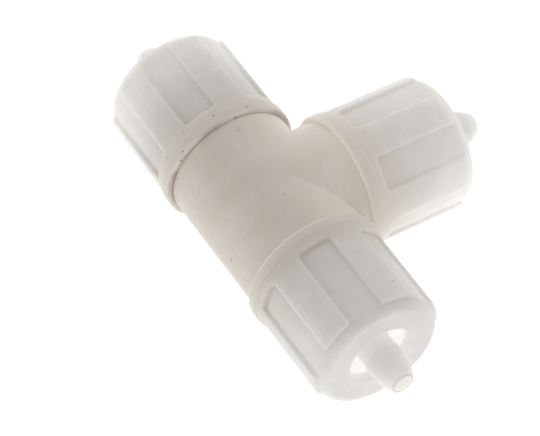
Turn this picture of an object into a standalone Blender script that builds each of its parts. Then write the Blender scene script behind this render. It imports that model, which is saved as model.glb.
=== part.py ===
"""Three-way hose union: a tee body with a screwed hose connection on each of its three ports.

Each connection is a union nut on the port's outside thread, a clamp ring inside the nut, a hose tail
whose flange closes the port, and a seal ring between the flange and the port.  The run lies along X,
the branch points along +Y, and the fitting rests on its nuts at z = 0.
"""

import math

import bmesh
import bpy

MM = 0.001

# Driving dimensions.  A station is a distance from the crossing of the tee's axes, along a port's axis.
GRIP_RADIUS = 12.7 * MM
BARREL_RADIUS = 12.15 * MM
SHOULDER_STATION = 13.5 * MM
PORT_FACE_STATION = 26.0 * MM
NUT_FRONT_STATION = 36.2 * MM
TAIL_TIP_STATION = 43.2 * MM
PASSAGE_RADIUS = 2.5 * MM
HOSE_HOLE_RADIUS = 6.2 * MM
HOSE_SEAT_RADIUS = 3.33 * MM
TAIL_BORE_RADIUS = 1.65 * MM
GAP = 0.35 * MM

# Union thread: the male ridge stands on the port and the female ridge inside the nut.
THREAD_PITCH = 1.5 * MM
THREAD_TURNS = 5
RIDGE_HEIGHT = 0.95 * MM
RIDGE_BASE_HALF = 0.58 * MM
RIDGE_CREST_HALF = 0.12 * MM
RIDGE_ROOT_SINK = 0.15 * MM
MALE_ROOT_RADIUS = 8.9 * MM
FEMALE_ROOT_RADIUS = 10.2 * MM
MALE_THREAD_STATION = 17.0 * MM
FEMALE_THREAD_STATION = MALE_THREAD_STATION - 0.5 * THREAD_PITCH

# Tee body.
JUNCTION_BLEND = 0.5 * MM
SHOULDER_ROUND = 0.5 * MM
PORT_CHAMFER = 0.6 * MM
SEAL_SEAT_RADIUS = 6.6 * MM
SEAL_SEAT_DEPTH = 2.1 * MM

# Union nut.
NUT_BACK_STATION = SHOULDER_STATION + GAP
COLLAR_RADIUS = 13.15 * MM
COLLAR_CHAMFER = 0.5 * MM
COLLAR_END_STATION = 15.8 * MM
GRIP_STATION = 18.2 * MM
LAND_END_STATION = 34.4 * MM
LAND_CHAMFER = 0.2 * MM
NOSE_STATION = 34.0 * MM
NOSE_FACE_RADIUS = 10.3 * MM
NUT_WEB = 1.9 * MM
NUT_POCKET_RADIUS = 9.0 * MM
HOLE_CHAMFER = 0.3 * MM
FLUTE_COUNT = 6
FLUTE_STATION = 17.7 * MM
FLUTE_FLOOR_RADIUS = 12.1 * MM
FLUTE_ANGLE = math.radians(30)

# Hose tail.
FLANGE_RADIUS = 8.5 * MM
FLANGE_THICKNESS = 2.3 * MM
BARB_RADIUS = 3.52 * MM
BARB_STATION = 36.8 * MM
BARB_STEP = 0.5 * MM
TAPER_END_RADIUS = 3.17 * MM
TAPER_END_STATION = 41.3 * MM
TIP_RADIUS = 2.1 * MM
TAIL_ROOT_ROUND = 0.8 * MM

# Clamp ring and seal ring.
RING_RADIUS = 8.6 * MM
RING_FRONT_BORE = 6.5 * MM
RING_BACK_BORE = 7.1 * MM
RING_CHAMFER = 0.4 * MM
SEAL_MAJOR_RADIUS = 5.3 * MM
SEAL_MINOR_RADIUS = 0.9 * MM

# Facets round each turned shape, and steps in its rounded corners.
BARREL_SEGMENTS = 32
NUT_SEGMENTS = 32
THREAD_SEGMENTS = 18
SMALL_SEGMENTS = 20
SEAL_SEGMENTS = 18
SEAL_SECTION_SEGMENTS = 6
NOSE_STEPS = 3
FLUTE_STEPS = 4
JUNCTION_STEPS = 4

AXIS_HEIGHT = COLLAR_RADIUS
RUN_AXIS_Y = 0.5 * (COLLAR_RADIUS - TAIL_TIP_STATION)
SHARP_ANGLE = math.radians(35)
CREASE_ANGLE = math.radians(8)
ROUND_PROFILE = 0.5
MERGE_DISTANCE = 0.01 * MM

# Turns a cutter's facets away from those of the solid it shapes, so no two edges lie on each other.
CUTTER_TURN = math.radians(3.7)

# Port name, heading about Z, and the turn of the nut's first grip land from straight up.
PORTS = (
    ("run_a", math.radians(0), math.radians(-16)),
    ("run_b", math.radians(180), math.radians(9)),
    ("branch", math.radians(90), math.radians(12)),
)

# Material name, colour and roughness.
MATERIALS = (
    ("body_polymer", (0.80, 0.74, 0.64, 1.0), 0.50),
    ("nut_polymer", (0.82, 0.83, 0.81, 1.0), 0.45),
    ("tail_polymer", (0.84, 0.83, 0.81, 1.0), 0.45),
    ("ring_polymer", (0.86, 0.86, 0.84, 1.0), 0.45),
    ("seal_elastomer", (0.70, 0.69, 0.66, 1.0), 0.60),
)


def clear_scene():
    for obj in list(bpy.data.objects):
        bpy.data.objects.remove(obj)


def new_collection(name):
    collection = bpy.data.collections.new(name)
    bpy.context.scene.collection.children.link(collection)
    return collection


def new_material(name, colour, roughness):
    material = bpy.data.materials.new(name)
    material.use_nodes = True
    shader = material.node_tree.nodes["Principled BSDF"]
    shader.inputs["Base Color"].default_value = colour
    shader.inputs["Roughness"].default_value = roughness
    shader.inputs["Metallic"].default_value = 0.0
    return material


def new_object(name, mesh, collection, parent=None):
    obj = bpy.data.objects.new(name, mesh)
    obj.parent = parent
    collection.objects.link(obj)
    return obj


def new_cutter(name, mesh, collection, parent=None):
    """An object that only shapes others, so it never counts as a piece of the fitting."""
    cutter = new_object(name, mesh, collection, parent)
    cutter.hide_render = True
    cutter.display_type = "WIRE"
    return cutter


def profile_mesh(name, points, closed):
    """Edges through (radius, height) points in the XZ plane, ready for a Screw modifier."""
    vertices = [(radius, 0.0, height) for radius, height in points]
    edges = [(i, i + 1) for i in range(len(points) - 1)]
    if closed:
        edges.append((len(points) - 1, 0))
    mesh = bpy.data.meshes.new(name)
    mesh.from_pydata(vertices, edges, [])
    return mesh


def add_screw(obj, segments, angle=2 * math.pi, pitch=0.0, turns=1):
    screw = obj.modifiers.new("Turn", "SCREW")
    screw.axis = "Z"
    screw.angle = angle
    screw.steps = segments
    screw.render_steps = segments
    screw.screw_offset = pitch
    screw.iterations = turns
    screw.use_merge_vertices = True
    screw.merge_threshold = MERGE_DISTANCE
    return screw


def add_boolean(obj, other, operation):
    boolean = obj.modifiers.new(operation.title(), "BOOLEAN")
    boolean.operation = operation
    boolean.solver = "EXACT"
    boolean.object = other


def bake(obj):
    """Replaces the object's mesh by its evaluated one, welded, and drops the modifiers."""
    bpy.context.view_layer.update()
    graph = bpy.context.evaluated_depsgraph_get()
    mesh = bpy.data.meshes.new_from_object(obj.evaluated_get(graph))
    bm = bmesh.new()
    bm.from_mesh(mesh)
    bmesh.ops.remove_doubles(bm, verts=bm.verts[:], dist=MERGE_DISTANCE)
    bmesh.ops.dissolve_degenerate(bm, dist=MERGE_DISTANCE, edges=bm.edges[:])
    bm.to_mesh(mesh)
    bm.free()
    obj.modifiers.clear()
    obj.data = mesh


def close_ends(mesh):
    """Caps the open ends of a swept section and turns all faces outward."""
    bm = bmesh.new()
    bm.from_mesh(mesh)
    open_edges = [edge for edge in bm.edges if edge.is_boundary]
    bmesh.ops.holes_fill(bm, edges=open_edges)
    bmesh.ops.recalc_face_normals(bm, faces=bm.faces[:])
    bm.to_mesh(mesh)
    bm.free()


def swept_solid(name, points, segments, angle, pitch, turns, collection, parent):
    """A closed section turned part way round, or along a helix, with flat ends."""
    cutter = new_cutter(name, profile_mesh(name, points, True), collection, parent)
    add_screw(cutter, segments, angle, pitch, turns)
    bake(cutter)
    close_ends(cutter.data)
    return cutter


def helical_ridge(name, root_radius, outward, station, collection, parent):
    """One thread ridge; outward is +1 on the outside of a port and -1 on the inside of a nut."""
    base = root_radius - outward * RIDGE_ROOT_SINK
    crest = root_radius + outward * RIDGE_HEIGHT
    section = (
        (base, station - RIDGE_BASE_HALF),
        (base, station + RIDGE_BASE_HALF),
        (crest, station + RIDGE_CREST_HALF),
        (crest, station - RIDGE_CREST_HALF),
    )
    ridge = swept_solid(
        name, section, THREAD_SEGMENTS, 2 * math.pi, THREAD_PITCH, THREAD_TURNS, collection, parent
    )
    ridge.rotation_euler = (0.0, 0.0, CUTTER_TURN)
    return ridge


def finish_piece(obj, material):
    """Gives a piece its material and shades it smooth across facets but not across corners."""
    obj.data.materials.clear()
    obj.data.materials.append(material)
    obj.data.shade_smooth()
    obj.data.set_sharp_from_angle(angle=SHARP_ANGLE)


def make_port(name, heading, collection):
    """An empty whose local Z is the port's outward axis and whose local X points straight up."""
    port = new_object("port_" + name, None, collection)
    port.location = (0.0, RUN_AXIS_Y, AXIS_HEIGHT)
    port.rotation_euler = (math.pi, -math.pi / 2, heading)
    return port


def barrel_profile():
    """Half of the run, or the branch: a thick barrel, its shoulder and the slimmer port spigot."""
    return (
        (0.0, PORT_FACE_STATION),
        (MALE_ROOT_RADIUS - PORT_CHAMFER, PORT_FACE_STATION),
        (MALE_ROOT_RADIUS, PORT_FACE_STATION - PORT_CHAMFER),
        (MALE_ROOT_RADIUS, SHOULDER_STATION),
        (BARREL_RADIUS - SHOULDER_ROUND, SHOULDER_STATION),
        (BARREL_RADIUS, SHOULDER_STATION - SHOULDER_ROUND),
    )


def blend_junction(mesh):
    """Rounds the inside corner where the branch barrel leaves the run."""
    bm = bmesh.new()
    bm.from_mesh(mesh)
    bmesh.ops.dissolve_degenerate(bm, dist=MERGE_DISTANCE, edges=bm.edges[:])
    corner = [
        edge for edge in bm.edges
        if all(abs(abs(vertex.co.y) - vertex.co.z) < MERGE_DISTANCE for vertex in edge.verts)
        and edge.is_manifold
        and edge.calc_face_angle_signed() < -CREASE_ANGLE
    ]
    bmesh.ops.bevel(
        bm,
        geom=corner,
        offset=JUNCTION_BLEND,
        offset_type="OFFSET",
        segments=JUNCTION_STEPS,
        profile=ROUND_PROFILE,
        affect="EDGES",
    )
    bm.to_mesh(mesh)
    bm.free()


def bore_profile():
    """The passage from one port to the tee's centre, with the seal ring's seat at its mouth."""
    mouth = PORT_FACE_STATION + GAP
    seat_floor = PORT_FACE_STATION - SEAL_SEAT_DEPTH
    return (
        (0.0, mouth),
        (SEAL_SEAT_RADIUS, mouth),
        (SEAL_SEAT_RADIUS, seat_floor),
        (PASSAGE_RADIUS, seat_floor),
    )


def mirrored(profile):
    """The profile followed by its mirror image, for a shape that is alike at both ends."""
    return profile + tuple((radius, -height) for radius, height in reversed(profile))


def turned_cutter(name, profile, segments, collection, parent):
    cutter = new_cutter(name, profile_mesh(name, profile, False), collection, parent)
    cutter.rotation_euler = (0.0, 0.0, CUTTER_TURN)
    add_screw(cutter, segments)
    return cutter


def make_tee_body(ports, parts, cutters, material):
    """The run and the branch joined, threaded on the outside of each port and bored through."""
    branch_barrel = barrel_profile() + ((BARREL_RADIUS, 0.0), (0.0, 0.0))
    body = new_object("tee_body", profile_mesh("tee_body", branch_barrel, False), parts, ports["branch"])
    add_screw(body, BARREL_SEGMENTS)
    run_barrel = mirrored(barrel_profile())
    run = new_cutter("run_barrel", profile_mesh("run_barrel", run_barrel, False), cutters, ports["run_a"])
    add_screw(run, BARREL_SEGMENTS)
    add_boolean(body, run, "UNION")
    bake(body)
    blend_junction(body.data)
    for name, port in ports.items():
        ridge = helical_ridge("male_ridge_" + name, MALE_ROOT_RADIUS, 1, MALE_THREAD_STATION, cutters, port)
        add_boolean(body, ridge, "UNION")
    run_bore = turned_cutter("run_bore", mirrored(bore_profile()), SMALL_SEGMENTS, cutters, ports["run_a"])
    add_boolean(body, run_bore, "DIFFERENCE")
    branch_end = ((PASSAGE_RADIUS, 0.0), (0.0, 0.0))
    branch_bore = turned_cutter(
        "branch_bore", bore_profile() + branch_end, SMALL_SEGMENTS, cutters, ports["branch"]
    )
    add_boolean(body, branch_bore, "DIFFERENCE")
    bake(body)
    finish_piece(body, material)
    return body


def nose_points():
    """The rounded front edge of the nut, from its front face back to where the grip lands end."""
    width = FLUTE_FLOOR_RADIUS - NOSE_FACE_RADIUS
    length = NUT_FRONT_STATION - NOSE_STATION
    last_turn = math.asin((LAND_END_STATION - NOSE_STATION) / length)
    points = []
    for step in range(NOSE_STEPS + 1):
        turn = 0.5 * math.pi + (last_turn - 0.5 * math.pi) * step / NOSE_STEPS
        points.append((NOSE_FACE_RADIUS + width * math.cos(turn), NOSE_STATION + length * math.sin(turn)))
    return tuple(points)


def nut_profile():
    """Closed section of the nut: down the outside from the front face, then up through the bore."""
    web_station = NUT_FRONT_STATION - NUT_WEB
    pocket_station = PORT_FACE_STATION + GAP
    outside = nose_points() + (
        (GRIP_RADIUS - LAND_CHAMFER, LAND_END_STATION),
        (GRIP_RADIUS, LAND_END_STATION - LAND_CHAMFER),
        (GRIP_RADIUS, GRIP_STATION),
        (COLLAR_RADIUS, COLLAR_END_STATION),
        (COLLAR_RADIUS, NUT_BACK_STATION + COLLAR_CHAMFER),
        (COLLAR_RADIUS - COLLAR_CHAMFER, NUT_BACK_STATION),
    )
    inside = (
        (FEMALE_ROOT_RADIUS, NUT_BACK_STATION),
        (FEMALE_ROOT_RADIUS, pocket_station),
        (NUT_POCKET_RADIUS, pocket_station),
        (NUT_POCKET_RADIUS, web_station),
        (HOSE_HOLE_RADIUS, web_station),
        (HOSE_HOLE_RADIUS, NUT_FRONT_STATION - HOLE_CHAMFER),
        (HOSE_HOLE_RADIUS + HOLE_CHAMFER, NUT_FRONT_STATION),
    )
    return outside + inside


def flute_cutters(name, turn, collection, port):
    """The ring sectors that sink the flutes between the grip lands, all sharing one mesh."""
    reach = GRIP_RADIUS + GAP
    section = (
        (FLUTE_FLOOR_RADIUS, NUT_FRONT_STATION + GAP),
        (reach, NUT_FRONT_STATION + GAP),
        (reach, FLUTE_STATION),
        (FLUTE_FLOOR_RADIUS, FLUTE_STATION),
    )
    sector = swept_solid("flute_" + name, section, FLUTE_STEPS, FLUTE_ANGLE, 0.0, 1, collection, port)
    spacing = 2 * math.pi / FLUTE_COUNT
    sector.rotation_euler = (0.0, 0.0, turn + 0.5 * (spacing - FLUTE_ANGLE))
    cutters = [sector]
    for index in range(1, FLUTE_COUNT):
        copy = new_cutter(f"flute_{name}_{index}", sector.data, collection, port)
        copy.rotation_euler = (0.0, 0.0, sector.rotation_euler.z + index * spacing)
        cutters.append(copy)
    return cutters


def make_union_nut(name, turn, port, parts, cutters, material):
    """The nut: a turned shell with a hole for the hose, an inside thread and six sunk flutes."""
    label = "union_nut_" + name
    nut = new_object(label, profile_mesh(label, nut_profile(), True), parts, port)
    add_screw(nut, NUT_SEGMENTS)
    ridge = helical_ridge(
        "female_ridge_" + name, FEMALE_ROOT_RADIUS, -1, FEMALE_THREAD_STATION, cutters, port
    )
    add_boolean(nut, ridge, "UNION")
    for cutter in flute_cutters(name, turn, cutters, port):
        add_boolean(nut, cutter, "DIFFERENCE")
    bake(nut)
    finish_piece(nut, material)
    return nut


def tail_profile():
    """Closed section of the hose tail, from the tip down the outside and back up the bore."""
    flange_back = PORT_FACE_STATION + GAP
    flange_front = flange_back + FLANGE_THICKNESS
    return (
        (TIP_RADIUS, TAIL_TIP_STATION),
        (TAPER_END_RADIUS, TAPER_END_STATION),
        (BARB_RADIUS, BARB_STATION),
        (HOSE_SEAT_RADIUS, BARB_STATION - BARB_STEP),
        (HOSE_SEAT_RADIUS, flange_front + TAIL_ROOT_ROUND),
        (HOSE_SEAT_RADIUS + TAIL_ROOT_ROUND, flange_front),
        (FLANGE_RADIUS, flange_front),
        (FLANGE_RADIUS, flange_back),
        (TAIL_BORE_RADIUS, flange_back),
        (TAIL_BORE_RADIUS, TAIL_TIP_STATION),
    )


def ring_profile():
    """Closed section of the clamp ring, whose bore narrows towards the nut's web."""
    back = PORT_FACE_STATION + 2 * GAP + FLANGE_THICKNESS
    front = NUT_FRONT_STATION - NUT_WEB - GAP
    return (
        (RING_FRONT_BORE, front),
        (RING_RADIUS, front),
        (RING_RADIUS, back + RING_CHAMFER),
        (RING_RADIUS - RING_CHAMFER, back),
        (RING_BACK_BORE, back),
    )


def make_turned_piece(label, profile, port, parts, material):
    piece = new_object(label, profile_mesh(label, profile, True), parts, port)
    add_screw(piece, SMALL_SEGMENTS)
    bake(piece)
    finish_piece(piece, material)
    return piece


def seal_profile():
    """Round section of the seal ring, resting just clear of its seat and of the tail's flange."""
    centre = PORT_FACE_STATION - SEAL_MINOR_RADIUS
    points = []
    for step in range(SEAL_SECTION_SEGMENTS):
        turn = -2 * math.pi * step / SEAL_SECTION_SEGMENTS
        radius = SEAL_MAJOR_RADIUS + SEAL_MINOR_RADIUS * math.cos(turn)
        points.append((radius, centre + SEAL_MINOR_RADIUS * math.sin(turn)))
    return points


def make_seal_ring(name, port, parts, material):
    label = "seal_ring_" + name
    seal = new_object(label, profile_mesh(label, seal_profile(), True), parts, port)
    add_screw(seal, SEAL_SEGMENTS)
    bake(seal)
    finish_piece(seal, material)
    return seal


def main():
    clear_scene()
    parts = new_collection("tee_hose_union")
    cutters = new_collection("cutters")
    materials = {name: new_material(name, colour, roughness) for name, colour, roughness in MATERIALS}
    ports = {name: make_port(name, heading, parts) for name, heading, _ in PORTS}
    make_tee_body(ports, parts, cutters, materials["body_polymer"])
    for name, _, turn in PORTS:
        port = ports[name]
        make_union_nut(name, turn, port, parts, cutters, materials["nut_polymer"])
        make_turned_piece("hose_tail_" + name, tail_profile(), port, parts, materials["tail_polymer"])
        make_turned_piece("clamp_ring_" + name, ring_profile(), port, parts, materials["ring_polymer"])
        make_seal_ring(name, port, parts, materials["seal_elastomer"])


main()
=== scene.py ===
"""Looks of the three-way hose union: fine skins for every piece, translucent polymer, a backlit table.

Each skin stands for the CAD node of the same shape and rides on the same body.  A station is a distance
from the crossing of the tee's axes, along a port's axis.
"""

import math

import bmesh
import bpy
from mathutils import Matrix, Vector


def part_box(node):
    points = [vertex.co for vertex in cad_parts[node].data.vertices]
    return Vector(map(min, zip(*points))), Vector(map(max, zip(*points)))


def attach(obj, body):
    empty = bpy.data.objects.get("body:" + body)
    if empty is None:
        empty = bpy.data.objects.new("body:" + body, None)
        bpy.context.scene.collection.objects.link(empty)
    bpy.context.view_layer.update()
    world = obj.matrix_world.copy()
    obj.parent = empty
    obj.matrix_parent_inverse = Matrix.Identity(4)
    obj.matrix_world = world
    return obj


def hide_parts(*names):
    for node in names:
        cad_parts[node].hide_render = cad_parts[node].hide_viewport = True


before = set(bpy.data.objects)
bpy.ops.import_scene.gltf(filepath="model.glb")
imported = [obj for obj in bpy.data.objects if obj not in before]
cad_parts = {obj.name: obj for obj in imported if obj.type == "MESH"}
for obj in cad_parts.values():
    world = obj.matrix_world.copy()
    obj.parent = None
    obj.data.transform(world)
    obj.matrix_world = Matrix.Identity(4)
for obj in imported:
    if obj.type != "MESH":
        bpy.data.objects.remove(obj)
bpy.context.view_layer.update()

MM = 0.001

# Sizes shared with the CAD model.
GRIP_RADIUS = 12.7 * MM
BARREL_RADIUS = 12.15 * MM
SHOULDER_STATION = 13.5 * MM
PORT_FACE_STATION = 26.0 * MM
NUT_FRONT_STATION = 36.2 * MM
TAIL_TIP_STATION = 43.2 * MM
PASSAGE_RADIUS = 2.5 * MM
HOSE_HOLE_RADIUS = 6.2 * MM
HOSE_SEAT_RADIUS = 3.33 * MM
TAIL_BORE_RADIUS = 1.65 * MM
GAP = 0.35 * MM

THREAD_PITCH = 1.5 * MM
THREAD_TURNS = 5
THREAD_START = math.radians(3.7)
THREAD_FADE = 0.1
RIDGE_HEIGHT = 0.95 * MM
RIDGE_FOOT_HALF = 0.52 * MM
RIDGE_CREST_HALF = 0.12 * MM
MALE_ROOT_RADIUS = 8.9 * MM
FEMALE_ROOT_RADIUS = 10.2 * MM
MALE_THREAD_STATION = 17.0 * MM
FEMALE_THREAD_STATION = MALE_THREAD_STATION - 0.5 * THREAD_PITCH

# Tee body.
JUNCTION_END = SHOULDER_STATION - 0.5 * MM
JUNCTION_FILL = 0.12
SHOULDER_ROUND = 0.35 * MM
PORT_ROUND = 0.45 * MM
SEAL_SEAT_RADIUS = 6.6 * MM
SEAL_SEAT_STATION = 23.9 * MM
BORE_JUNCTION_END = 5.0 * MM
BORE_FILL = 0.3

# Union nut. Its back face is 0.2 mm nearer the shoulder than in the CAD model.
NUT_BACK_STATION = 13.65 * MM
COLLAR_RADIUS = 13.15 * MM
COLLAR_ROUND = 0.6 * MM
COLLAR_END_STATION = 15.8 * MM
COLLAR_STEP = 0.15 * MM
COLLAR_EDGE_ROUND = 0.1 * MM
GRIP_STATION = 18.2 * MM
GRIP_EASE = 0.35 * MM
LAND_END_STATION = 34.4 * MM
LAND_ROUND = 0.2 * MM
NOSE_STATION = 34.0 * MM
NOSE_FACE_RADIUS = 10.3 * MM
NUT_WEB = 1.9 * MM
NUT_POCKET_RADIUS = 9.0 * MM
HOLE_ROUND = 0.3 * MM
FLUTE_COUNT = 6
FLUTE_STATION = 17.7 * MM
FLUTE_FLOOR_RADIUS = 12.1 * MM
FLUTE_HALF_ANGLE = math.radians(15)
FLUTE_CORNER = 1.0 * MM
FLUTE_EDGE = 0.2 * MM

# Hose tail.
FLANGE_RADIUS = 8.5 * MM
FLANGE_THICKNESS = 2.3 * MM
BARB_RADIUS = 3.52 * MM
BARB_STATION = 36.8 * MM
BARB_STEP = 0.5 * MM
TAPER_END_RADIUS = 3.17 * MM
TAPER_END_STATION = 41.3 * MM
TIP_RADIUS = 2.1 * MM
TIP_ROUND = 0.18 * MM
TAPER_ROUND = 0.6 * MM
TAIL_EDGE_ROUND = 0.25 * MM
FLANGE_FOOT_ROUND = 0.8 * MM
BORE_BACK_ROUND = 0.2 * MM
BORE_TIP_ROUND = 0.12 * MM

# Clamp ring and seal ring.
RING_RADIUS = 8.6 * MM
RING_FRONT_BORE = 6.5 * MM
RING_BACK_BORE = 7.1 * MM
RING_EDGE_ROUND = 0.2 * MM
RING_BACK_ROUND = 0.4 * MM
SEAL_MAJOR_RADIUS = 5.3 * MM
SEAL_MINOR_RADIUS = 0.85 * MM

# Mesh fineness.
TEE_SEGMENTS = 128
SMALL_SEGMENTS = 64
SEAL_SECTION = 16
ARC_STEPS = 5
NOSE_STEPS = 12
THREAD_ROW = 0.18 * MM
STRAIGHT_ROW = 0.9 * MM
JUNCTION_STRAIGHT_STEPS = 10
JUNCTION_ARC_STEPS = 14
MERGE_DISTANCE = 0.002 * MM
LONGEST_REACH = 0.49  # how much of an edge one rounding may take
SHARP_ANGLE = math.radians(50)

# Angles from a flute's middle at which the nut's surface is sampled, closest together at its edges.
FLUTE_DEGREES = (4, 8, 10.5, 12, 13, 13.6, 14.1, 14.6, 15, 15.4, 15.9, 17, 20, 25)
FLUTE_SAMPLES = tuple(math.radians(degrees) for degrees in FLUTE_DEGREES)

# Port name, outward axis, and the turn of the nut's first grip land from straight up.
PORTS = (
    ("run_a", (1, 0, 0), math.radians(-16)),
    ("run_b", (-1, 0, 0), math.radians(9)),
    ("branch", (0, 1, 0), math.radians(12)),
)

# Strength of the room's light from either side, and of the white table under the fitting.
LIGHT_FROM_FRONT = 0.42
LIGHT_FROM_BEHIND = 0.84
TABLE_LIGHT = 0.97
TABLE_COLOUR = (0.2, 0.2, 0.2, 1.0)
TABLE_ROUGHNESS = 0.9
TABLE_HALF_WIDTH = 2.0
WHITE = (1.0, 1.0, 1.0, 1.0)

# Light that reaches a piece through the milky walls around it, given off at its surface.
BODY_GLOW = 0.04
BODY_BRANCH_GLOW = 0.15
NUT_INSIDE_GLOW = 0.09
RING_GLOW = 0.30
TAIL_GLOW = 0.10
BORE_GLOW = 0.09

# Nut name, the glow of its wall, of its front end and of its back edge, how rare dirt is on its collar, and
# how much its back edge is darkened, partly by dirt and partly by painted shade that dulls the light on its
# rounded edge.
NUT_LOOKS = (
    ("run_a", 0.0, 0.0, 0.0, 0.80, 0.15),
    ("run_b", 0.0, 0.14, 0.10, 0.72, 0.35),
    ("branch", 0.09, 0.06, 0.14, 0.80, 0.1),
)

# Polymer colours: the light one, and the one in its clouds.
BODY_COLOURS = ((0.755, 0.705, 0.63, 1.0), (0.70, 0.65, 0.57, 1.0))
NUT_COLOURS = ((0.85, 0.833, 0.812, 1.0), (0.79, 0.77, 0.746, 1.0))
TAIL_COLOURS = ((0.88, 0.87, 0.85, 1.0), (0.84, 0.825, 0.81, 1.0))
RING_COLOURS = ((0.90, 0.90, 0.89, 1.0), (0.87, 0.865, 0.86, 1.0))
SEAL_COLOURS = ((0.72, 0.71, 0.68, 1.0), (0.66, 0.65, 0.62, 1.0))
# Painted shade of a nut's inner thread, showing through its wall.
THREAD_SHADOW_TONE = (0.76, 0.74, 0.72, 1.0)
WARM_TONE = (0.72, 0.67, 0.59, 1.0)
# Painted shade round the bore's mouth at the tail's tip.
TIP_RIM_SHADE_TONE = (0.42, 0.39, 0.36, 1.0)
# Dark grains of dirt. The same colour is also used for the painted shade at a nut's back edge.
DIRT_AND_SHADE = (0.16, 0.14, 0.12, 1.0)

# How the polymer's streaks are drawn out along each axis.
EVEN_GRAIN = (1.0, 1.0, 1.0)
PORT_GRAIN = (1.0, 1.0, 0.12)

# Fineness of the patterns, in waves per metre.
DIRT_PATCH_SCALE = 80
BODY_DIRT_PATCH_SCALE = 90
CLOUD_SCALE = 130
STREAK_SCALE = 900
SPECK_SCALE = 1150
PIT_SCALE = 1500

# How much of each pattern shows: the span of noise over which it comes in.
CLOUD_BAND = (0.35, 0.65)
STREAK_BAND = (0.3, 0.7)
ROUGHNESS_BAND = (0.3, 0.7)
BODY_PATCH_BAND = (0.52, 0.62)
NUT_PATCH_BAND = (0.5, 0.6)
EDGE_DIRT_AND_SHADE_BAND = (0.35, 0.6)
SPECK_EDGE = 0.04
STREAK_SHARE = 0.5

# How rare specks are: on the body, along its edge away from the branch, and on the nuts' grips.
BODY_RARITY = 0.74
EDGE_RARITY = 0.725
GRIP_RARITY = 0.78

# Where each look comes in, from none at the first number to full at the second.
BODY_EDGE_FADE = (-8 * MM, -11 * MM)
BODY_GLOW_FADE = (-6 * MM, 12 * MM)
THREAD_BACK_FADE = (18 * MM, 23 * MM)
THREAD_FRONT_FADE = (31 * MM, 28 * MM)
THREAD_WAVE_BAND = (-0.4, 1.0)
THREAD_SHADOW_SHARE = 0.2
WARM_FADE = (26 * MM, 14 * MM)
WARM_SHARE = 0.8
COLLAR_DIRT_FADE = (17.6 * MM, 16.8 * MM)
EDGE_DIRT_AND_SHADE_FADE = (14.1 * MM, 13.7 * MM)
HOLLOW_RADIUS_FADE = (10.6 * MM, 10.3 * MM)
HOLLOW_FRONT_FADE = (36.1 * MM, 35.6 * MM)
FRONT_GLOW_FADE = (22 * MM, 34 * MM)
NOSE_GLOW_FADE = (36 * MM, 35 * MM)
BACK_GLOW_FADE = (14.2 * MM, 13.7 * MM)
TIP_RIM_FADE = (42.9 * MM, 43.1 * MM)
TIP_RIM_RADIUS_FADE = (1.68 * MM, 1.8 * MM)
TIP_RIM_SHADE_SHARE = 0.45
BORE_FADE = (1.75 * MM, 1.68 * MM)
FLANGE_FADE = (29 * MM, 28.5 * MM)

# How far light soaks into each polymer.
BODY_SCATTER = 1.6 * MM
NUT_SCATTER = 3.0 * MM
TAIL_SCATTER = 1.2 * MM
RING_SCATTER = 2.0 * MM
SEAL_SCATTER = 1.0 * MM

# Depth and strength of the surface's streaks and pits.
STREAK_BUMP = 0.3
STREAK_DEPTH = 0.05 * MM
PIT_BUMP = 0.2
PIT_DEPTH = 0.04 * MM

# Shader values shared by the polymers.
POLYMER_IOR = 1.49
SCATTER_TINT = (1.0, 0.93, 0.82)
SATIN = 0.36
BODY_ROUGHNESS = 0.42
SEAL_ROUGHNESS = 0.6
SMOOTHEST = 0.05  # how far the roughness falls below its value, and rises above it
ROUGHEST = 0.07

# Camera: where it looks from, how far off, its roll, and its lens.
CAMERA_AZIMUTH = math.radians(54.85)
CAMERA_ELEVATION = math.radians(50.65)
CAMERA_DISTANCE = 604.1 * MM
CAMERA_AIM = Vector((0.70, -0.54, 0.0)) * MM
CAMERA_ROLL = math.radians(4.32)
CAMERA_LENS = 226.7
CAMERA_SENSOR = 36.0
CAMERA_NEAR = 0.05
CAMERA_FAR = 20.0


def crossing_point():
    """Where the tee's axes cross, from the boxes of two clamp rings."""
    run_low, run_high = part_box("clamp_ring_run_a")
    branch_low, branch_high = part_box("clamp_ring_branch")
    middle = 0.5 * (run_low + run_high)
    return Vector((0.5 * (branch_low.x + branch_high.x), middle.y, middle.z))


CROSSING = crossing_point()


# ---------------------------------------------------------------------------------------------- mesh


def port_turn(outward):
    """Rotation whose local Z is the port's outward axis and whose local X points straight up."""
    out = Vector(outward)
    up = Vector((0, 0, 1))
    return Matrix((up, out.cross(up), out)).transposed()


def smooth_step(low, high, value):
    share = min(1.0, max(0.0, (value - low) / (high - low)))
    return share * share * (3 - 2 * share)


def even_angles(count):
    return [2 * math.pi * step / count for step in range(count)]


def rounded(corners, closed=True, steps=ARC_STEPS):
    """Points through (radius, station, rounding) corners, each corner turned into an arc."""
    points = []
    last = len(corners) - 1
    for index, (radius, station, rounding) in enumerate(corners):
        at = Vector((radius, station))
        if rounding == 0 or (not closed and index in (0, last)):
            points.append(at)
            continue
        before = Vector(corners[index - 1][:2]) - at
        after = Vector(corners[(index + 1) % len(corners)][:2]) - at
        half = 0.5 * before.angle(after)
        limit = LONGEST_REACH * min(before.length, after.length)
        reach = min(rounding / math.tan(half), limit)
        start = at + before.normalized() * reach
        end = at + after.normalized() * reach
        for step in range(steps + 1):
            share = step / steps
            points.append(start * (1 - share) ** 2 + at * 2 * share * (1 - share) + end * share**2)
    return points


def split_long(points, longest, closed=True):
    """The same outline with its long straights cut into pieces no longer than asked."""
    result = []
    count = len(points)
    for index in range(count if closed else count - 1):
        start = points[index]
        end = points[(index + 1) % count]
        pieces = max(1, math.ceil((end - start).length / longest))
        result += [start.lerp(end, piece / pieces) for piece in range(pieces)]
    if not closed:
        result.append(points[-1])
    return result


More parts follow.
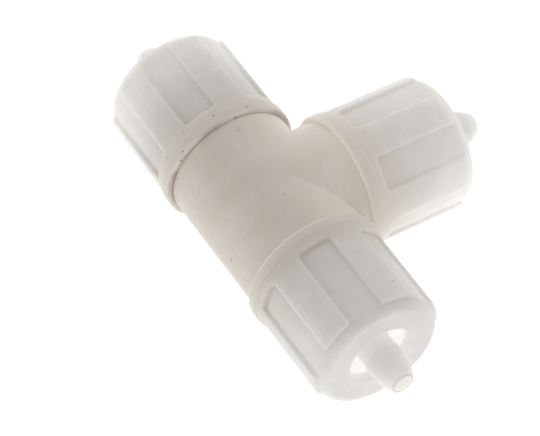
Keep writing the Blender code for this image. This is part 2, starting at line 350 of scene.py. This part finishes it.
def add_rings(bm, points, angles, reshape, turn, closed):
    """Turns an outline about local Z; reshape gives each point's radius at its angle."""
    rings = []
    for point in points:
        ring = []
        for angle in angles:
            radius = reshape(point.x, point.y, angle)
            local = Vector((radius * math.cos(angle), radius * math.sin(angle), point.y))
            ring.append(bm.verts.new(turn @ local))
        rings.append(ring)
    pairs = list(zip(rings, rings[1:]))
    if closed:
        pairs.append((rings[-1], rings[0]))
    for low, high in pairs:
        for index in range(len(angles)):
            after = (index + 1) % len(angles)
            bm.faces.new((low[index], low[after], high[after], high[index]))


def plain(radius, station, angle):
    return radius


def ridge_share(root_station, station, angle):
    """How high the thread's ridge stands here, from 0 at its root to 1 at its crest."""
    turns = (station - root_station) / THREAD_PITCH
    turned = ((angle - THREAD_START) % (2 * math.pi)) / (2 * math.pi)
    index = round(turns - turned)
    along = index + turned
    away = abs(turns - along) * THREAD_PITCH
    height = (RIDGE_FOOT_HALF - away) / (RIDGE_FOOT_HALF - RIDGE_CREST_HALF)
    fade = smooth_step(0, THREAD_FADE, along) * smooth_step(0, THREAD_FADE, THREAD_TURNS - along)
    return min(1.0, max(0.0, height)) * fade


def finish_mesh(name, bm, material):
    """Welds, closes and shades a piece's mesh, and makes its object."""
    bmesh.ops.remove_doubles(bm, verts=bm.verts[:], dist=MERGE_DISTANCE)
    bmesh.ops.recalc_face_normals(bm, faces=bm.faces[:])
    mesh = bpy.data.meshes.new(name)
    bm.to_mesh(mesh)
    bm.free()
    mesh.shade_smooth()
    mesh.set_sharp_from_angle(angle=SHARP_ANGLE)
    mesh.materials.append(material)
    piece = bpy.data.objects.new(name, mesh)
    bpy.context.scene.collection.objects.link(piece)
    return piece


def stand_in(piece, node, body):
    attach(piece, body)
    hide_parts(node)


def turned_piece(name, points, angles, reshape, outward, material):
    """A closed outline turned about a port's axis, with its object on that axis."""
    bm = bmesh.new()
    add_rings(bm, points, angles, reshape, Matrix.Identity(3), True)
    piece = finish_mesh(name, bm, material)
    piece.matrix_world = Matrix.Translation(CROSSING) @ port_turn(outward).to_4x4()
    return piece


# ------------------------------------------------------------------------------------------ tee body


def junction_path(reach, end, fill):
    """Plan of the corner between run and branch at one height: along the run, round, along the branch."""
    rounding = fill * min(reach, end - reach)
    bend = reach + rounding
    path = []
    for step in range(JUNCTION_STRAIGHT_STEPS):
        path.append((end + (bend - end) * step / JUNCTION_STRAIGHT_STEPS, reach))
    for step in range(JUNCTION_ARC_STEPS + 1):
        angle = 0.5 * math.pi * step / JUNCTION_ARC_STEPS
        path.append((bend - rounding * math.sin(angle), bend - rounding * math.cos(angle)))
    for step in range(1, JUNCTION_STRAIGHT_STEPS + 1):
        path.append((reach, bend + (end - bend) * step / JUNCTION_STRAIGHT_STEPS))
    return path


def add_sheet(bm, rows):
    """Quads between rows of points."""
    grid = [[bm.verts.new(point) for point in row] for row in rows]
    for upper, lower in zip(grid, grid[1:]):
        for index in range(len(upper) - 1):
            bm.faces.new((upper[index], upper[index + 1], lower[index + 1], lower[index]))


def add_tee_surface(bm, radius, end, fill):
    """Two equal barrels joined in a tee, open at its three ends."""
    levels = [math.pi * step / (TEE_SEGMENTS // 2) for step in range(TEE_SEGMENTS // 2 + 1)]
    for side in (1, -1):
        corner = []
        for level in levels:
            height = radius * math.cos(level)
            path = junction_path(radius * math.sin(level), end, fill)
            corner.append([Vector((side * x, y, height)) for x, y in path])
        add_sheet(bm, corner)
    spacing = [end * (1 - step / JUNCTION_STRAIGHT_STEPS) for step in range(JUNCTION_STRAIGHT_STEPS + 1)]
    stretch = spacing + [-x for x in reversed(spacing[:-1])]
    back = []
    for level in levels:
        back.append([Vector((x, -radius * math.sin(level), radius * math.cos(level))) for x in stretch])
    add_sheet(bm, back)


def male_thread(radius, station, angle):
    if abs(radius - MALE_ROOT_RADIUS) > MERGE_DISTANCE:
        return radius
    return radius + RIDGE_HEIGHT * ridge_share(MALE_THREAD_STATION, station, angle)


def spigot_outline():
    """From the barrel's end over the shoulder and the port, then down the bore to the inner junction."""
    outline = rounded(
        (
            (BARREL_RADIUS, JUNCTION_END, 0),
            (BARREL_RADIUS, SHOULDER_STATION, SHOULDER_ROUND),
            (MALE_ROOT_RADIUS, SHOULDER_STATION, 0),
            (MALE_ROOT_RADIUS, PORT_FACE_STATION, PORT_ROUND),
            (SEAL_SEAT_RADIUS, PORT_FACE_STATION, GAP),
            (SEAL_SEAT_RADIUS, SEAL_SEAT_STATION, 0),
            (PASSAGE_RADIUS, SEAL_SEAT_STATION, GAP),
            (PASSAGE_RADIUS, BORE_JUNCTION_END, 0),
        ),
        closed=False,
    )
    return split_long(outline, THREAD_ROW, closed=False)


def make_tee_body(material):
    bm = bmesh.new()
    add_tee_surface(bm, BARREL_RADIUS, JUNCTION_END, JUNCTION_FILL)
    add_tee_surface(bm, PASSAGE_RADIUS, BORE_JUNCTION_END, BORE_FILL)
    for _, outward, _ in PORTS:
        add_rings(bm, spigot_outline(), even_angles(TEE_SEGMENTS), male_thread, port_turn(outward), False)
    body = finish_mesh("tee_body_skin", bm, material)
    body.location = CROSSING
    stand_in(body, "tee_body", "fitting_body")


# ----------------------------------------------------------------------------------------- union nut


def flute_share(station, angle, turn):
    """1 on a flute's floor, 0 on a grip land, with a narrow wall and rounded closed end between them."""
    spacing = 2 * math.pi / FLUTE_COUNT
    away = abs((angle - turn) % spacing - 0.5 * spacing) * GRIP_RADIUS
    across = away - (FLUTE_HALF_ANGLE * GRIP_RADIUS - FLUTE_CORNER)
    back = FLUTE_STATION + FLUTE_CORNER - station
    outside = math.hypot(max(across, 0), max(back, 0))
    distance = outside + min(max(across, back), 0) - FLUTE_CORNER
    return 1 - smooth_step(-FLUTE_EDGE, FLUTE_EDGE, distance)


def nut_shape(turn):
    """Gives the nut's radius at any angle: flutes on the outside, a thread on the inside."""

    def reshape(radius, station, angle):
        if radius > FLUTE_FLOOR_RADIUS and station > COLLAR_END_STATION:
            return radius - (radius - FLUTE_FLOOR_RADIUS) * flute_share(station, angle, turn)
        if abs(radius - FEMALE_ROOT_RADIUS) < MERGE_DISTANCE:
            return radius - RIDGE_HEIGHT * ridge_share(FEMALE_THREAD_STATION, station, angle)
        return radius

    return reshape


def nut_angles(turn):
    """Sample angles round the nut, dense at the flutes' edges."""
    spacing = 2 * math.pi / FLUTE_COUNT
    offsets = [-sample for sample in reversed(FLUTE_SAMPLES)] + [0.0] + list(FLUTE_SAMPLES) + [0.5 * spacing]
    return [turn + spacing * (index + 0.5) + offset for index in range(FLUTE_COUNT) for offset in offsets]


def nose_corners():
    """The rounded front edge of the nut, from its front face back to where the grip lands end."""
    width = FLUTE_FLOOR_RADIUS - NOSE_FACE_RADIUS
    length = NUT_FRONT_STATION - NOSE_STATION
    last_turn = math.asin((LAND_END_STATION - NOSE_STATION) / length)
    corners = []
    for step in range(NOSE_STEPS + 1):
        turn = 0.5 * math.pi + (last_turn - 0.5 * math.pi) * step / NOSE_STEPS
        radius = NOSE_FACE_RADIUS + width * math.cos(turn)
        corners.append((radius, NOSE_STATION + length * math.sin(turn), 0))
    return tuple(corners)


def nut_outline():
    web = NUT_FRONT_STATION - NUT_WEB
    pocket = PORT_FACE_STATION + GAP
    corners = nose_corners() + (
        (GRIP_RADIUS, LAND_END_STATION, LAND_ROUND),
        (GRIP_RADIUS, GRIP_STATION, GRIP_EASE),
        (COLLAR_RADIUS - COLLAR_STEP, COLLAR_END_STATION + COLLAR_STEP, 0),
        (COLLAR_RADIUS, COLLAR_END_STATION, COLLAR_EDGE_ROUND),
        (COLLAR_RADIUS, NUT_BACK_STATION, COLLAR_ROUND),
        (FEMALE_ROOT_RADIUS, NUT_BACK_STATION, 0),
        (FEMALE_ROOT_RADIUS, pocket, 0),
        (NUT_POCKET_RADIUS, pocket, 0),
        (NUT_POCKET_RADIUS, web, 0),
        (HOSE_HOLE_RADIUS, web, 0),
        (HOSE_HOLE_RADIUS, NUT_FRONT_STATION, HOLE_ROUND),
    )
    return split_long(rounded(corners), 2 * THREAD_ROW)


def make_union_nut(name, outward, turn, material):
    nut = turned_piece(
        "union_nut_skin_" + name, nut_outline(), nut_angles(turn), nut_shape(turn), outward, material
    )
    stand_in(nut, "union_nut_" + name, "nut_" + name)


# --------------------------------------------------------------------------- tail, clamp ring, seal


def tail_outline():
    back = PORT_FACE_STATION + GAP
    front = back + FLANGE_THICKNESS
    return rounded(
        (
            (TIP_RADIUS, TAIL_TIP_STATION, TIP_ROUND),
            (TAPER_END_RADIUS, TAPER_END_STATION, TAPER_ROUND),
            (BARB_RADIUS, BARB_STATION, TAIL_EDGE_ROUND),
            (HOSE_SEAT_RADIUS, BARB_STATION - BARB_STEP, TAIL_EDGE_ROUND),
            (HOSE_SEAT_RADIUS, front, FLANGE_FOOT_ROUND),
            (FLANGE_RADIUS, front, TAIL_EDGE_ROUND),
            (FLANGE_RADIUS, back, TAIL_EDGE_ROUND),
            (TAIL_BORE_RADIUS, back, BORE_BACK_ROUND),
            (TAIL_BORE_RADIUS, TAIL_TIP_STATION, BORE_TIP_ROUND),
        )
    )


def ring_outline():
    back = PORT_FACE_STATION + 2 * GAP + FLANGE_THICKNESS
    front = NUT_FRONT_STATION - NUT_WEB - GAP
    return rounded(
        (
            (RING_FRONT_BORE, front, RING_EDGE_ROUND),
            (RING_RADIUS, front, RING_EDGE_ROUND),
            (RING_RADIUS, back, RING_BACK_ROUND),
            (RING_BACK_BORE, back, RING_EDGE_ROUND),
        )
    )


def seal_outline():
    centre = PORT_FACE_STATION - SEAL_MINOR_RADIUS
    section = []
    for angle in even_angles(SEAL_SECTION):
        radius = SEAL_MAJOR_RADIUS + SEAL_MINOR_RADIUS * math.cos(angle)
        section.append(Vector((radius, centre + SEAL_MINOR_RADIUS * math.sin(angle))))
    return section


def make_small_pieces(name, outward, materials):
    """The hose tail, clamp ring and seal ring of one port."""
    angles = even_angles(SMALL_SEGMENTS)
    pieces = (
        ("hose_tail_", tail_outline(), "fitting_body", "tail_polymer"),
        ("clamp_ring_", ring_outline(), "clamp_" + name, "ring_polymer"),
        ("seal_ring_", seal_outline(), "fitting_body", "seal_elastomer"),
    )
    for prefix, outline, body, slot in pieces:
        outline = split_long(outline, STRAIGHT_ROW)
        piece = turned_piece(prefix + "skin_" + name, outline, angles, plain, outward, materials[slot])
        stand_in(piece, prefix + name, body)


# ----------------------------------------------------------------------------------------- materials


class Nodes:
    """Short calls for building one material's node tree."""

    def __init__(self, name):
        self.material = bpy.data.materials.new(name)
        self.material.use_nodes = True
        self.tree = self.material.node_tree
        self.shader = self.tree.nodes["Principled BSDF"]
        self.place = self.add("ShaderNodeTexCoord").outputs["Object"]

    def add(self, kind, **settings):
        node = self.tree.nodes.new(kind)
        for key, value in settings.items():
            setattr(node, key, value)
        return node

    def link(self, output, socket):
        self.tree.links.new(output, socket)

    def stretched(self, scale):
        """The object's own coordinates, scaled differently along each axis."""
        mapping = self.add("ShaderNodeMapping")
        mapping.inputs["Scale"].default_value = scale
        self.link(self.place, mapping.inputs["Vector"])
        return mapping.outputs["Vector"]

    def noise(self, vector, scale, detail=3.0, roughness=0.55):
        noise = self.add("ShaderNodeTexNoise")
        noise.inputs["Scale"].default_value = scale
        noise.inputs["Detail"].default_value = detail
        noise.inputs["Roughness"].default_value = roughness
        self.link(vector, noise.inputs["Vector"])
        return noise.outputs["Fac"]

    def port_place(self):
        """Distance from the port's axis, station along it, and angle round it."""
        across = self.add("ShaderNodeVectorMath", operation="MULTIPLY")
        across.inputs[1].default_value = (1.0, 1.0, 0.0)
        self.link(self.place, across.inputs[0])
        length = self.add("ShaderNodeVectorMath", operation="LENGTH")
        self.link(across.outputs["Vector"], length.inputs[0])
        parts = self.add("ShaderNodeSeparateXYZ")
        self.link(self.place, parts.inputs["Vector"])
        angle = self.combined("ARCTAN2", parts.outputs["Y"], parts.outputs["X"])
        return length.outputs["Value"], parts.outputs["Z"], angle

    def combined(self, operation, first, second):
        node = self.add("ShaderNodeMath", operation=operation)
        self.link(first, node.inputs[0])
        self.link(second, node.inputs[1])
        return node.outputs[0]

    def plus(self, first, second):
        return self.combined("ADD", first, second)

    def times(self, first, second):
        return self.combined("MULTIPLY", first, second)

    def scaled(self, value, factor):
        node = self.add("ShaderNodeMath", operation="MULTIPLY")
        self.link(value, node.inputs[0])
        node.inputs[1].default_value = factor
        return node.outputs[0]

    def sine(self, value):
        node = self.add("ShaderNodeMath", operation="SINE")
        self.link(value, node.inputs[0])
        return node.outputs[0]

    def band(self, value, low, high, result_low=0.0, result_high=1.0):
        """Maps a value from one span to another, and holds it within the second."""
        node = self.add("ShaderNodeMapRange", interpolation_type="SMOOTHSTEP")
        node.inputs["From Min"].default_value = low
        node.inputs["From Max"].default_value = high
        node.inputs["To Min"].default_value = result_low
        node.inputs["To Max"].default_value = result_high
        self.link(value, node.inputs["Value"])
        return node.outputs["Result"]

    def mixed(self, share, first, second):
        """Colour between first and second; each is a colour or a socket."""
        node = self.add("ShaderNodeMix", data_type="RGBA")
        self.link(share, node.inputs["Factor"])
        for key, colour in (("A", first), ("B", second)):
            socket = [s for s in node.inputs if s.name == key and s.type == "RGBA"][0]
            if isinstance(colour, tuple):
                socket.default_value = colour
            else:
                self.link(colour, socket)
        return [s for s in node.outputs if s.type == "RGBA"][0]

    def bump(self, height, strength, distance, normal=None):
        node = self.add("ShaderNodeBump")
        node.inputs["Strength"].default_value = strength
        node.inputs["Distance"].default_value = distance
        self.link(height, node.inputs["Height"])
        if normal is not None:
            self.link(normal, node.inputs["Normal"])
        return node.outputs["Normal"]


def moulded_colour(n, colours, grain):
    """Polymer colour with soft clouds and the streaks of its flow; also gives both patterns."""
    light, shade = colours
    cloud = n.noise(n.place, CLOUD_SCALE, 4.0)
    flow = n.noise(n.stretched(grain), STREAK_SCALE, 3.0)
    clouded = n.mixed(n.band(cloud, *CLOUD_BAND), shade, light)
    streaked = n.mixed(n.band(flow, *STREAK_BAND, 0.0, STREAK_SHARE), clouded, shade)
    return streaked, cloud, flow


def add_specks(n, colour, rarity, where):
    """Small dark grains of dirt, only where the mask is on."""
    grains = n.band(n.noise(n.place, SPECK_SCALE, 1.0), rarity, rarity + SPECK_EDGE)
    return n.mixed(n.times(grains, where), colour, DIRT_AND_SHADE)


def finish_polymer(n, colour, cloud, flow, scatter, roughness):
    """Sets how light soaks into the polymer and how its satin surface breaks up reflections."""
    n.link(colour, n.shader.inputs["Base Color"])
    n.link(colour, n.shader.inputs["Emission Color"])
    uneven = n.band(cloud, *ROUGHNESS_BAND, roughness - SMOOTHEST, roughness + ROUGHEST)
    n.link(uneven, n.shader.inputs["Roughness"])
    n.shader.inputs["IOR"].default_value = POLYMER_IOR
    n.shader.inputs["Subsurface Weight"].default_value = 1.0
    n.shader.inputs["Subsurface Radius"].default_value = SCATTER_TINT
    n.shader.inputs["Subsurface Scale"].default_value = scatter
    streaks = n.bump(flow, STREAK_BUMP, STREAK_DEPTH)
    pits = n.bump(n.noise(n.place, PIT_SCALE, 2.0), PIT_BUMP, PIT_DEPTH, streaks)
    n.link(pits, n.shader.inputs["Normal"])


def make_body_polymer():
    """Cream moulding, a little cloudy, with a few grains of dirt."""
    n = Nodes("body_polymer_cream")
    colour, cloud, flow = moulded_colour(n, BODY_COLOURS, EVEN_GRAIN)
    parts = n.add("ShaderNodeSeparateXYZ")
    n.link(n.place, parts.inputs["Vector"])
    toward_branch = parts.outputs["Y"]
    patches = n.band(n.noise(n.place, BODY_DIRT_PATCH_SCALE, 2.0), *BODY_PATCH_BAND)
    colour = add_specks(n, colour, BODY_RARITY, patches)
    colour = add_specks(n, colour, EDGE_RARITY, n.band(toward_branch, *BODY_EDGE_FADE))
    finish_polymer(n, colour, cloud, flow, BODY_SCATTER, BODY_ROUGHNESS)
    glow = n.band(toward_branch, *BODY_GLOW_FADE, BODY_GLOW, BODY_BRANCH_GLOW)
    n.link(glow, n.shader.inputs["Emission Strength"])
    return n.material


def add_thread_shadow(n, colour, station, angle):
    """Painted shade of the thread inside the nut, seen faintly through its wall."""
    turns = n.plus(n.scaled(station, 2 * math.pi / THREAD_PITCH), angle)
    wave = n.band(n.sine(turns), *THREAD_WAVE_BAND, 0.0, THREAD_SHADOW_SHARE)
    length = n.times(n.band(station, *THREAD_FRONT_FADE), n.band(station, *THREAD_BACK_FADE))
    return n.mixed(n.times(wave, length), colour, THREAD_SHADOW_TONE)


def nut_glow(n, radius, station, wall_glow, front_glow, back_glow):
    """Light through the nut's wall: all over, inside its hollow, toward its front, and at its back edge."""
    hollow = n.times(n.band(radius, *HOLLOW_RADIUS_FADE), n.band(station, *HOLLOW_FRONT_FADE))
    inside = n.scaled(hollow, NUT_INSIDE_GLOW)
    toward_front = n.band(station, *FRONT_GLOW_FADE, 0.0, front_glow)
    front = n.times(toward_front, n.band(station, *NOSE_GLOW_FADE))
    back = n.band(station, *BACK_GLOW_FADE, wall_glow, wall_glow + back_glow)
    return n.plus(n.plus(inside, front), back)


def make_nut_polymer(name, wall_glow, front_glow, back_glow, rarity, edge_dirt_and_shade):
    """Milky moulding with painted shade where the thread shows faintly through, dirt and painted shade at
    its back edge, and brighter where it is hollow behind.
    """
    n = Nodes("nut_polymer_" + name)
    colour, cloud, flow = moulded_colour(n, NUT_COLOURS, PORT_GRAIN)
    radius, station, angle = n.port_place()
    colour = add_thread_shadow(n, colour, station, angle)
    colour = n.mixed(n.band(station, *WARM_FADE, 0.0, WARM_SHARE), colour, WARM_TONE)
    colour = add_specks(n, colour, rarity, n.band(station, *COLLAR_DIRT_FADE))
    patches = n.band(n.noise(n.place, DIRT_PATCH_SCALE, 2.0), *NUT_PATCH_BAND)
    colour = add_specks(n, colour, GRIP_RARITY, patches)
    # Dirt and painted shade darken the back edge where the nut meets the body, in patches.
    dirt_and_shade = n.times(n.band(station, *EDGE_DIRT_AND_SHADE_FADE, 0.0, edge_dirt_and_shade), n.band(cloud, *EDGE_DIRT_AND_SHADE_BAND))
    colour = n.mixed(dirt_and_shade, colour, DIRT_AND_SHADE)
    finish_polymer(n, colour, cloud, flow, NUT_SCATTER, SATIN)
    glow = nut_glow(n, radius, station, wall_glow, front_glow, back_glow)
    n.link(glow, n.shader.inputs["Emission Strength"])
    return n.material


def make_tail_polymer():
    """The same milky polymer, with painted shade round the bore's mouth at the tip, lit from inside the bore
    and at the flange in the hollow nut.
    """
    n = Nodes("tail_polymer_natural")
    colour, cloud, flow = moulded_colour(n, TAIL_COLOURS, PORT_GRAIN)
    radius, station, _ = n.port_place()
    # Painted shade: a darker ring round the bore's mouth at the tip.
    around_bore = n.band(radius, *TIP_RIM_RADIUS_FADE, 0.0, TIP_RIM_SHADE_SHARE)
    rim_shade = n.times(n.band(station, *TIP_RIM_FADE), around_bore)
    colour = n.mixed(rim_shade, colour, TIP_RIM_SHADE_TONE)
    finish_polymer(n, colour, cloud, flow, TAIL_SCATTER, SATIN)
    bore = n.band(radius, *BORE_FADE, 0.0, BORE_GLOW)
    flange = n.band(station, *FLANGE_FADE, TAIL_GLOW, RING_GLOW)
    n.link(n.plus(bore, flange), n.shader.inputs["Emission Strength"])
    return n.material


def make_ring_polymer():
    """Milky polymer of the clamp ring, lit through the nut around it."""
    n = Nodes("ring_polymer_natural")
    colour, cloud, flow = moulded_colour(n, RING_COLOURS, PORT_GRAIN)
    finish_polymer(n, colour, cloud, flow, RING_SCATTER, SATIN)
    n.shader.inputs["Emission Strength"].default_value = RING_GLOW
    return n.material


def make_seal_elastomer():
    """Pale, dull rubber."""
    n = Nodes("seal_elastomer_pale")
    colour, cloud, flow = moulded_colour(n, SEAL_COLOURS, EVEN_GRAIN)
    finish_polymer(n, colour, cloud, flow, SEAL_SCATTER, SEAL_ROUGHNESS)
    return n.material


# ------------------------------------------------------------------------------------- studio, camera


def make_floor():
    """A backlit white table, so pale that it clips to white as in a product shot."""
    bm = bmesh.new()
    bmesh.ops.create_grid(bm, x_segments=1, y_segments=1, size=TABLE_HALF_WIDTH)
    floor_mesh = bpy.data.meshes.new("table")
    bm.to_mesh(floor_mesh)
    bm.free()
    table = bpy.data.objects.new("table", floor_mesh)
    bpy.context.scene.collection.objects.link(table)
    n = Nodes("table_white")
    n.shader.inputs["Base Color"].default_value = TABLE_COLOUR
    n.shader.inputs["Roughness"].default_value = TABLE_ROUGHNESS
    n.shader.inputs["Emission Color"].default_value = WHITE
    n.shader.inputs["Emission Strength"].default_value = TABLE_LIGHT
    floor_mesh.materials.append(n.material)


def make_room_light():
    """Soft white light from all round, twice as strong from behind the fitting as from the camera's side."""
    world = bpy.data.worlds.new("studio")
    world.use_nodes = True
    bpy.context.scene.world = world
    tree = world.node_tree
    background = tree.nodes["Background"]
    direction = tree.nodes.new("ShaderNodeTexCoord")
    behind = tree.nodes.new("ShaderNodeVectorMath")
    behind.operation = "DOT_PRODUCT"
    behind.inputs[1].default_value = (-math.sin(CAMERA_AZIMUTH), math.cos(CAMERA_AZIMUTH), 0.0)
    strength = tree.nodes.new("ShaderNodeMapRange")
    strength.inputs["From Min"].default_value = -1.0
    strength.inputs["To Min"].default_value = LIGHT_FROM_FRONT
    strength.inputs["To Max"].default_value = LIGHT_FROM_BEHIND
    tree.links.new(direction.outputs["Generated"], behind.inputs[0])
    tree.links.new(behind.outputs["Value"], strength.inputs["Value"])
    tree.links.new(strength.outputs["Result"], background.inputs["Strength"])
    background.inputs["Color"].default_value = WHITE
    bpy.context.scene.view_settings.view_transform = "Standard"


def make_camera():
    """The camera, aimed near the crossing of the axes from its azimuth and elevation."""
    back = Vector(
        (
            math.sin(CAMERA_AZIMUTH) * math.cos(CAMERA_ELEVATION),
            -math.cos(CAMERA_AZIMUTH) * math.cos(CAMERA_ELEVATION),
            math.sin(CAMERA_ELEVATION),
        )
    )
    data = bpy.data.cameras.new("camera")
    data.lens = CAMERA_LENS
    data.sensor_width = CAMERA_SENSOR
    data.clip_start = CAMERA_NEAR
    data.clip_end = CAMERA_FAR
    camera = bpy.data.objects.new("camera", data)
    bpy.context.scene.collection.objects.link(camera)
    aimed = (-back).to_track_quat("-Z", "Y").to_matrix().to_4x4()
    position = Matrix.Translation(CROSSING + CAMERA_AIM + back * CAMERA_DISTANCE)
    camera.matrix_world = position @ aimed @ Matrix.Rotation(CAMERA_ROLL, 4, "Z")
    bpy.context.scene.camera = camera


nut_polymers = {look[0]: make_nut_polymer(*look) for look in NUT_LOOKS}
small_polymers = {
    "tail_polymer": make_tail_polymer(),
    "ring_polymer": make_ring_polymer(),
    "seal_elastomer": make_seal_elastomer(),
}
make_tee_body(make_body_polymer())
for port_name, port_outward, land_turn in PORTS:
    make_union_nut(port_name, port_outward, land_turn, nut_polymers[port_name])
    make_small_pieces(port_name, port_outward, small_polymers)
make_floor()
make_room_light()
make_camera()
